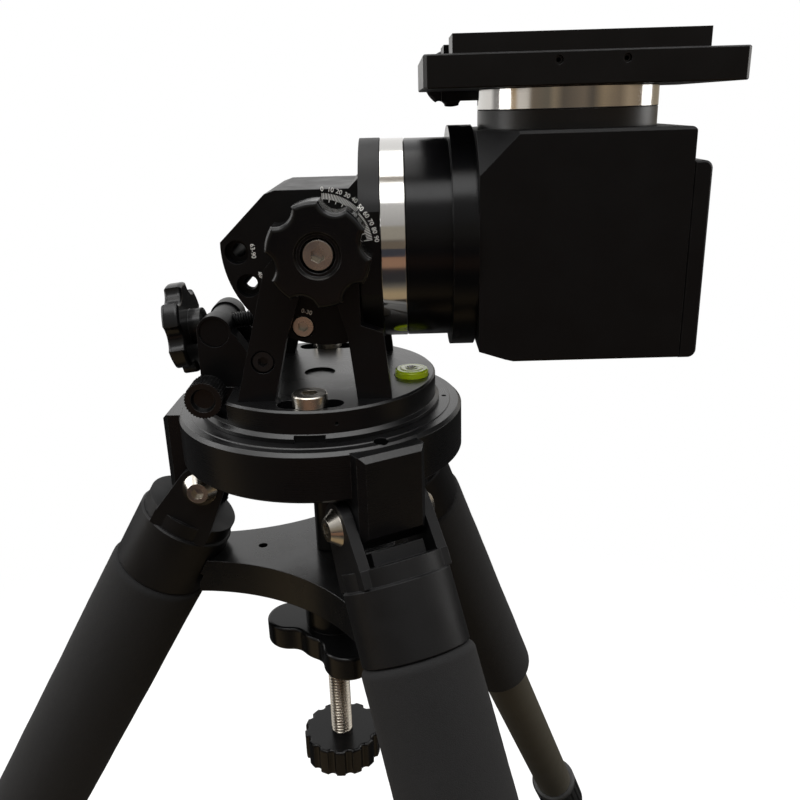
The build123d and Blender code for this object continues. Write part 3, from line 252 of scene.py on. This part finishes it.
PAINT = {
    "tripod_hub": black_turned_z, "azimuth_base": black_turned_z, "spreader_plate": plate_gloss,
    "spreader_nut": knob_gloss, "rod_knob": knob_gloss, "altitude_knob": knob_gloss,
    "clamp_knob_near": knob_pivot, "clamp_knob_far": knob_pivot, "saddle_knob_a": knob_gloss,
    "saddle_knob_b": knob_gloss, "adjuster_block": black_milled, "wedge_plate_near": black_milled,
    "wedge_plate_far": black_milled, "altitude_body": black_milled, "wedge_tie_bar": black_milled,
    "altitude_nut": machined_steel, "altitude_trunnion": black_milled, "ra_housing": black_turned_ra,
    "dec_housing": black_blasted, "dec_side_cover": black_blasted, "dec_collar": black_turned_dec,
    "saddle_plate": saddle_black, "saddle_jaw": saddle_black, "ra_ring": ring_ra, "dec_ring": ring_dec,
    "ra_gear_motor": machined_steel, "dec_gear_motor": machined_steel, "level_vial": lime,
    "saddle_screws": oxide, "housing_screws": oxide, "wedge_tie_screws": oxide,
    "azimuth_screw_near": knob_gloss, "azimuth_screw_far": knob_gloss,
}
for side in SIDES:
    PAINT[f"leg_clevis_{side}"] = cast_black
    PAINT[f"leg_tube_{side}"] = olive_tube
    PAINT[f"leg_rod_{side}"] = olive_tube
    PAINT[f"leg_lock_{side}"] = lock_plastic
    PAINT[f"leg_foot_{side}"] = foot_rubber
for name, node in NODES.items():
    node.data.materials.clear()
    node.data.materials.append(PAINT.get(name, stainless))


# ---------- mesh helpers ----------
def add_mesh(name, points, faces, material, body, slot, smooth=True):
    mesh = bpy.data.meshes.new(name)
    mesh.from_pydata([tuple(point) for point in points], [], faces)
    mesh.validate()
    mesh.update()
    piece = bpy.data.objects.new(name, mesh)
    bpy.context.scene.collection.objects.link(piece)
    mesh.materials.append(material)
    if smooth:
        mesh.shade_smooth()
    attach(piece, body)
    return piece


def axes_for(direction):
    """Two unit vectors across a direction."""
    direction = Vector(direction).normalized()
    helper = Vector((0, 0, 1)) if abs(direction.z) < 0.9 else Vector((1, 0, 0))
    across = direction.cross(helper).normalized()
    return across, direction.cross(across).normalized()


def lathe_grid(origin, direction, stations, count, radius):
    """Points and faces of a closed turned shape. radius(station, angle) gives millimetres."""
    across, up = axes_for(direction)
    direction = Vector(direction).normalized()
    points = []
    for station in stations:
        for step in range(count):
            angle = math.tau * step / count
            arm = across * math.cos(angle) + up * math.sin(angle)
            points.append(origin + direction * station * MM + arm * radius(station, angle) * MM)
    faces = []
    for row in range(len(stations) - 1):
        for step in range(count):
            after = (step + 1) % count
            low, high = row * count, (row + 1) * count
            faces.append((low + step, low + after, high + after, high + step))
    faces.append(tuple(reversed(range(count))))
    last = (len(stations) - 1) * count
    faces.append(tuple(range(last, last + count)))
    return points, faces


def threaded(name, origin, direction, start, end, major, pitch, body, replaced, look,
             count=36, per_turn=12):
    """A right-handed V-threaded rod from start to end millimetres along its axis."""
    depth = 0.6134 * pitch
    steps = int(round((end - start) / pitch * per_turn))
    stations = [start + (end - start) * step / steps for step in range(steps + 1)]

    def radius(station, angle):
        phase = (station / pitch - angle / math.tau) % 1.0
        wave = abs(2.0 * phase - 1.0)
        crest = min(1.0, max(0.0, (wave - 0.125) / 0.75))
        runout = min(1.0, (station - start) / pitch, (end - station) / pitch)
        return major - depth * (1.0 - crest * max(0.0, runout))

    points, faces = lathe_grid(origin, direction, stations, count, radius)
    piece = add_mesh(name, points, faces, look, body, "stainless", smooth=False)
    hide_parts(replaced)
    return piece


def smooth_noise(point, scale):
    return noise.fractal(Vector(point) * scale, 1.0, 2.0, 3)


# ---------- foam grips ----------
GRIP_START, GRIP_END, GRIP_R = 63.0, 306.0, 26.6
GRIP_ROUND = 4.0
for side in SIDES:
    origin = joint_origin(f"leg_fold_{side}")
    down = joint_axis(f"leg_extend_{side}")
    stations = []
    radii = []
    for step in range(9):
        turn = math.radians(90 * step / 8)
        stations.append(GRIP_START + GRIP_ROUND * (1 - math.sin(turn)))
        radii.append(GRIP_R - GRIP_ROUND * (1 - math.cos(turn)))
    stations, radii = stations[::-1], radii[::-1]
    body_steps = 120
    for step in range(1, body_steps):
        share = step / body_steps
        stations.append(GRIP_START + GRIP_ROUND + (GRIP_END - GRIP_START - 2 * GRIP_ROUND) * share)
        radii.append(GRIP_R)
    for step in range(9):
        turn = math.radians(90 * step / 8)
        stations.append(GRIP_END - GRIP_ROUND * (1 - math.sin(turn)))
        radii.append(GRIP_R - GRIP_ROUND * (1 - math.cos(turn)))
    order = sorted(zip(stations, radii))
    profile = {round(station, 6): value for station, value in order}
    stations = sorted(profile)

    def grip_radius(station, angle, profile=profile):
        place = Vector((math.cos(angle) * 27, math.sin(angle) * 27, station))
        swell = 0.25 * smooth_noise(place, 0.02) + 0.07 * smooth_noise(place, 0.45)
        return profile[round(station, 6)] - 0.3 + swell

    points, faces = lathe_grid(origin, down, stations, 128, grip_radius)
    grip = add_mesh(f"foam_grip_{side}", points, faces, foam, f"leg_{side}", "foam")
    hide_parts(f"leg_grip_{side}")

# ---------- threaded rods ----------
ROD_FROM, ROD_TO = -215.0, 8.6
threaded("threaded_rod", at(0, 0, 0), Z_AXIS, ROD_FROM, ROD_TO, 5.98, 2.0, "centre_rod",
         "central_rod", rod_steel, 48)
screw_axis = joint_axis("altitude_knob_turn")
trunnion = joint_origin("altitude_knob_turn")
SCREW_FROM, SCREW_TO = -20.4, 69.5
threaded("latitude_screw", trunnion, screw_axis, SCREW_FROM, SCREW_TO, 3.98, 1.25, "altitude_adjuster",
         "altitude_screw", oxide)

# ---------- guide sleeve round the rod, under the hub ----------
def tube_mesh(origin, direction, profile, count):
    """A closed ring turned from (radius, station) corners in millimetres."""
    across, up = axes_for(direction)
    direction = Vector(direction).normalized()
    points = []
    for radius, station in profile:
        for step in range(count):
            angle = math.tau * step / count
            arm = across * math.cos(angle) + up * math.sin(angle)
            points.append(origin + direction * station * MM + arm * radius * MM)
    faces = []
    rows = len(profile)
    for row in range(rows):
        low, high = row * count, (row + 1) % rows * count
        for step in range(count):
            after = (step + 1) % count
            faces.append((low + step, low + after, high + after, high + step))
    return points, faces


SLEEVE = [(6.3, -82.7), (7.2, -82.7), (7.5, -82.3), (7.5, -24.2), (6.3, -24.2)]
sleeve = tube_mesh(at(0, 0, 0), Z_AXIS, SLEEVE, 72)
add_mesh("rod_sleeve", *sleeve, black_turned_dec, "root", "black_anodised", smooth=False)

# ---------- latitude scale on the near cheek ----------
CHEEK_Y, INK = -33.8, 0.05
PIVOT_X, PIVOT_Z = 8.5, 82.0
FLANGE_X, FLANGE_FLAT, FLANGE_R, FLANGE_Z = 24.6, 42.0, 45.5, 78.9


def near_side(x, z):
    """Depth of the latitude head's near side: the cheek, or the flange's flat and rounded side."""
    if x < FLANGE_X:
        return CHEEK_Y
    return -min(FLANGE_FLAT, math.sqrt(FLANGE_R ** 2 - (z - FLANGE_Z) ** 2))


def polar(radius, angle):
    turn = math.radians(angle)
    return PIVOT_X + radius * math.cos(turn), PIVOT_Z + radius * math.sin(turn)


def stroke(points, faces, start, end, width):
    """A painted line on the cheek between two (x, z) places, in millimetres."""
    along = Vector((end[0] - start[0], end[1] - start[1])).normalized()
    side = Vector((-along.y, along.x)) * width / 2
    first = len(points)
    deep = near_side(*end)
    for y in (deep + 0.01, deep - INK):
        for place, sign in ((start, 1), (end, 1), (end, -1), (start, -1)):
            points.append(at(place[0] + sign * side.x, y, place[1] + sign * side.y))
    for quad in ((0, 1, 2, 3), (7, 6, 5, 4), (0, 4, 5, 1), (1, 5, 6, 2), (2, 6, 7, 3), (3, 7, 4, 0)):
        faces.append(tuple(first + corner for corner in quad))


def lettering(points, faces, text, centre, up_angle, height):
    """Painted characters on the cheek: their tops point along up_angle."""
    curve = bpy.data.curves.new("scale_text", "FONT")
    curve.body = text
    curve.size = height / 0.7
    curve.extrude = INK / 2
    curve.align_x, curve.align_y = "CENTER", "CENTER"
    made = bpy.data.objects.new("scale_text", curve)
    bpy.context.scene.collection.objects.link(made)
    mesh = bpy.data.meshes.new_from_object(made.evaluated_get(bpy.context.evaluated_depsgraph_get()))
    turn = math.radians(up_angle)
    rise, read = (math.cos(turn), math.sin(turn)), (math.sin(turn), -math.cos(turn))
    first = len(points)
    on_flange = centre[0] > FLANGE_X - 1.0
    for vertex in mesh.vertices:
        x = centre[0] + read[0] * vertex.co.x + rise[0] * vertex.co.y
        z = centre[1] + read[1] * vertex.co.x + rise[1] * vertex.co.y
        deep = near_side(max(x, FLANGE_X) if on_flange else min(x, FLANGE_X - 0.1), z)
        points.append(at(x, deep - INK / 2 - vertex.co.z, z))
    for polygon in mesh.polygons:
        faces.append(tuple(first + corner for corner in polygon.vertices))
    bpy.data.objects.remove(made)
    bpy.data.curves.remove(curve)
    bpy.data.meshes.remove(mesh)


points, faces = [], []
for value in range(0, 91, 2):
    angle = 88.0 - 0.889 * value
    inner = 18.2 if value % 10 == 0 else 19.4
    reach = (FLANGE_X - PIVOT_X) / math.cos(math.radians(angle))
    if 19.0 < reach < 21.8:
        inner = max(inner, reach)
    stroke(points, faces, polar(inner, angle), polar(21.8, angle), 0.26)
for value in range(0, 91, 10):
    angle = 88.0 - 0.889 * value
    lettering(points, faces, str(value), polar(23.5, angle), angle, 1.9)
for text, angle in (("63-90", 183.2), ("40-70", 206.4), ("20-50", 229.6), ("0-30", 252.8)):
    lettering(points, faces, text, polar(30.6, angle), angle + 180.0, 1.9)
add_mesh("latitude_scale", points, faces, white_paint, "altitude", "black_anodised", smooth=False)

# ---------- level: lens, target circle and bubble ----------
LEVEL_X, LEVEL_Y, LEVEL_TOP = 45.5, -8.0, 17.4
LEVEL_AT = at(LEVEL_X, LEVEL_Y, LEVEL_TOP)
LENS = [(0.01, -0.3), (5.6, -0.3), (5.6, 0.05), (5.0, 0.22), (0.01, 0.35)]
window = tube_mesh(LEVEL_AT, Z_AXIS, LENS, 64)
add_mesh("level_window", *window, lime_pale, "azimuth", "level_green")
target = tube_mesh(LEVEL_AT, Z_AXIS, [(2.5, 0.1), (2.9, 0.1), (2.9, 0.42), (2.5, 0.42)], 64)
add_mesh("level_target", *target, lime_dark, "azimuth", "level_green", smooth=False)
bubble_at = at(45.1, -7.4, 17.6)
bubble = tube_mesh(bubble_at, Z_AXIS, [(0.01, 0.0), (1.7, 0.0), (1.5, 0.25), (0.9, 0.4), (0.01, 0.45)], 48)
add_mesh("level_bubble", *bubble, white_paint, "azimuth", "level_green")

# ---------- floor, light and camera ----------
FLOOR_HALF = 14.0
floor_mesh = bpy.data.meshes.new("floor")
floor_corners = [(x * FLOOR_HALF, y * FLOOR_HALF, 0) for x, y in ((-1, -1), (1, -1), (1, 1), (-1, 1))]
floor_mesh.from_pydata(floor_corners, [], [(0, 1, 2, 3)])
floor = bpy.data.objects.new("floor", floor_mesh)
bpy.context.scene.collection.objects.link(floor)
t = Tree("floor")
seen = t.add("ShaderNodeLightPath").outputs["Is Camera Ray"]
place = t.add("ShaderNodeSeparateXYZ", {0: t.coords}).outputs["Y"]
share = t.remap(place, -4.0, 1.0, 0.0, 1.0, smooth=False)
stripes = t.add("ShaderNodeValToRGB", {"Fac": share})
stops = [(0.0, (0.040, 0.042, 0.052)), (0.10, (0.040, 0.042, 0.052)), (0.14, (0.240, 0.140, 0.092)),
         (0.46, (0.240, 0.140, 0.092)), (0.50, (0.020, 0.020, 0.022)), (0.63, (0.020, 0.020, 0.022)),
         (0.66, (0.080, 0.075, 0.065)), (0.70, (0.250, 0.190, 0.115)), (0.77, (0.250, 0.190, 0.115)),
         (0.80, (0.02, 0.02, 0.02)), (1.0, (0.02, 0.02, 0.02))]
ramp = stripes.color_ramp
for spot, (where, colour) in enumerate(stops):
    element = ramp.elements[0] if spot == 0 else ramp.elements[1] if spot == 1 else ramp.elements.new(where)
    element.position, element.color = where, (*colour, 1.0)
dim = t.add("ShaderNodeBsdfDiffuse", {"Color": stripes.outputs["Color"]}).outputs["BSDF"]
pale = t.add("ShaderNodeBsdfDiffuse", {"Color": (0.93, 0.93, 0.93, 1.0)}).outputs["BSDF"]
glow = t.add("ShaderNodeEmission", {"Color": (1.0, 1.0, 1.0, 1.0), "Strength": 1.0}).outputs["Emission"]
away = t.vector("LENGTH", t.coords, output="Value")
fade = t.remap(away, 0.25, 1.1, 0.62, 1.0)
ground = t.add("ShaderNodeMixShader", {0: fade, 1: pale, 2: glow}).outputs["Shader"]
both = t.add("ShaderNodeMixShader", {0: seen, 1: dim, 2: ground}).outputs["Shader"]
t.add("ShaderNodeOutputMaterial", {"Surface": both})
floor_mesh.materials.append(t.material)

world = bpy.data.worlds.new("studio")
bpy.context.scene.world = world
world.use_nodes = True
tree = world.node_tree
tree.nodes.clear()


def world_node(kind, inputs=None, **settings):
    made = tree.nodes.new(kind)
    for key, value in settings.items():
        setattr(made, key, value)
    for key, value in (inputs or {}).items():
        if isinstance(value, bpy.types.NodeSocket):
            tree.links.new(value, made.inputs[key])
        else:
            made.inputs[key].default_value = value
    return made


def world_ramp(value, stops):
    made = world_node("ShaderNodeValToRGB", {"Fac": value})
    ramp = made.color_ramp
    ramp.elements[0].position, ramp.elements[0].color = stops[0][0], (*stops[0][1], 1)
    ramp.elements[1].position, ramp.elements[1].color = stops[1][0], (*stops[1][1], 1)
    for place, colour in stops[2:]:
        ramp.elements.new(place).color = (*colour, 1)
    return made.outputs["Color"]


direction = world_node("ShaderNodeSeparateXYZ", {0: world_node("ShaderNodeTexCoord").outputs["Generated"]})
height = world_node("ShaderNodeMapRange", {
    "Value": direction.outputs["Z"], "From Min": -1.0, "From Max": 1.0})
depth = world_node("ShaderNodeMapRange", {
    "Value": direction.outputs["Y"], "From Min": -0.55, "From Max": 0.15}, interpolation_type="SMOOTHSTEP")
front = world_ramp(height.outputs["Result"], [
    (0.0, (0.03, 0.03, 0.03)), (0.50, (0.10, 0.11, 0.13)), (0.545, (0.12, 0.13, 0.15)),
    (0.565, (0.34, 0.31, 0.26)), (0.68, (0.36, 0.33, 0.28)), (0.70, (0.46, 0.45, 0.44)),
    (0.87, (0.66, 0.65, 0.64)), (0.905, (5.5, 5.5, 5.5)), (0.970, (5.5, 5.5, 5.5)),
    (0.984, (0.42, 0.38, 0.33)), (1.0, (0.42, 0.38, 0.33))])
back = world_ramp(height.outputs["Result"], [
    (0.0, (0.15, 0.14, 0.13)), (0.50, (0.75, 0.74, 0.72)), (0.58, (1.0, 0.99, 0.98)),
    (0.90, (1.0, 1.0, 1.0)),
    (0.93, (0.42, 0.38, 0.33)), (1.0, (0.42, 0.38, 0.33))])
room = world_node("ShaderNodeMix", data_type="RGBA")
tree.links.new(depth.outputs["Result"], room.inputs["Factor"])
tree.links.new(front, room.inputs["A"])
tree.links.new(back, room.inputs["B"])
# a low strip of room round the horizon: doors, curtains and wooden furniture
flipped = world_node("ShaderNodeMath", {0: direction.outputs["Y"], 1: -1.0}, operation="MULTIPLY")
azimuth = world_node("ShaderNodeMath", {
    0: direction.outputs["X"], 1: flipped.outputs["Value"]}, operation="ARCTAN2")
round_room = world_node("ShaderNodeMapRange", {
    "Value": azimuth.outputs["Value"], "From Min": -math.pi, "From Max": math.pi})
walls = world_ramp(round_room.outputs["Result"], [
    (0.0, (1.0, 0.99, 0.97)), (0.165, (1.0, 0.98, 0.95)), (0.185, (0.33, 0.32, 0.31)),
    (0.235, (0.30, 0.28, 0.26)),
    (0.25, (0.50, 0.37, 0.23)), (0.285, (0.50, 0.37, 0.23)), (0.30, (0.85, 0.80, 0.74)),
    (0.335, (0.80, 0.75, 0.68)),
    (0.35, (0.20, 0.16, 0.12)), (0.41, (0.16, 0.14, 0.11)), (0.43, (0.30, 0.24, 0.17)),
    (0.46, (0.12, 0.10, 0.08)),
    (0.53, (0.20, 0.16, 0.12)), (0.56, (0.10, 0.085, 0.07)), (0.60, (0.34, 0.26, 0.17)),
    (0.66, (0.22, 0.17, 0.12)),
    (0.70, (0.42, 0.33, 0.23)), (0.76, (0.26, 0.20, 0.14)), (0.80, (0.38, 0.31, 0.22)),
    (0.90, (0.30, 0.25, 0.18)),
    (0.95, (0.60, 0.57, 0.52)), (1.0, (1.0, 0.99, 0.97))])
level_band = world_node("ShaderNodeMath", {0: direction.outputs["Z"]}, operation="ABSOLUTE")
in_band = world_node("ShaderNodeMapRange", {
    "Value": level_band.outputs["Value"], "From Min": 0.07, "From Max": 0.16, "To Min": 1.0, "To Max": 0.0},
    interpolation_type="SMOOTHSTEP")
lived_in = world_node("ShaderNodeMix", data_type="RGBA")
tree.links.new(in_band.outputs["Result"], lived_in.inputs["Factor"])
tree.links.new(room.outputs["Result"], lived_in.inputs["A"])
tree.links.new(walls, lived_in.inputs["B"])
light = world_node("ShaderNodeBackground", {"Color": lived_in.outputs["Result"], "Strength": 1.0})
sight = world_node("ShaderNodeBackground", {"Color": (1.0, 1.0, 1.0, 1.0), "Strength": 1.0})
ray = world_node("ShaderNodeLightPath")
pick = world_node("ShaderNodeMixShader", {
    0: ray.outputs["Is Camera Ray"], 1: light.outputs["Background"], 2: sight.outputs["Background"]})
world_node("ShaderNodeOutputWorld", {"Surface": pick.outputs["Shader"]})


def softbox(name, place, target, width, height, power, colour=(1.0, 1.0, 1.0)):
    lamp = bpy.data.lights.new(name, "AREA")
    lamp.shape = "RECTANGLE"
    lamp.size, lamp.size_y = width, height
    lamp.energy = power
    lamp.color = colour
    lamp_object = bpy.data.objects.new(name, lamp)
    bpy.context.scene.collection.objects.link(lamp_object)
    lamp_object.location = place
    lamp_object.rotation_euler = (Vector(target) - Vector(place)).to_track_quat("-Z", "Y").to_euler()
    return lamp_object


middle = at(30, 0, 0)
softbox("overhead", middle + Vector((0.0, 0.45, 2.1)), middle, 2.2, 1.6, 26.0)
softbox("left", middle + Vector((-1.9, 0.1, 0.7)), middle, 0.7, 1.5, 12.0)
softbox("right", middle + Vector((1.9, 0.5, 0.6)), middle, 0.8, 1.5, 10.0)

CAMERA_AT = (42.4643, -393.2319, 138.0063)
YAW, PITCH, ROLL = 0.0079, 0.3416, -0.0294
right = Vector((math.cos(YAW), math.sin(YAW), 0))
ahead = Vector((-math.sin(YAW) * math.cos(PITCH), math.cos(YAW) * math.cos(PITCH), -math.sin(PITCH)))
up = right.cross(ahead)
tilted_right = math.cos(ROLL) * right + math.sin(ROLL) * up
tilted_up = -math.sin(ROLL) * right + math.cos(ROLL) * up
lens = bpy.data.cameras.new("camera")
lens.sensor_width = 36.0
lens.lens = 829.4883 / 800 * 36.0
lens.clip_start = 0.01
camera = bpy.data.objects.new("camera", lens)
bpy.context.scene.collection.objects.link(camera)
facing = Matrix((tilted_right, tilted_up, -ahead)).transposed().to_4x4()
camera.matrix_world = Matrix.Translation(at(*CAMERA_AT)) @ facing
bpy.context.scene.camera = camera
bpy.context.scene.view_settings.view_transform = "Standard"
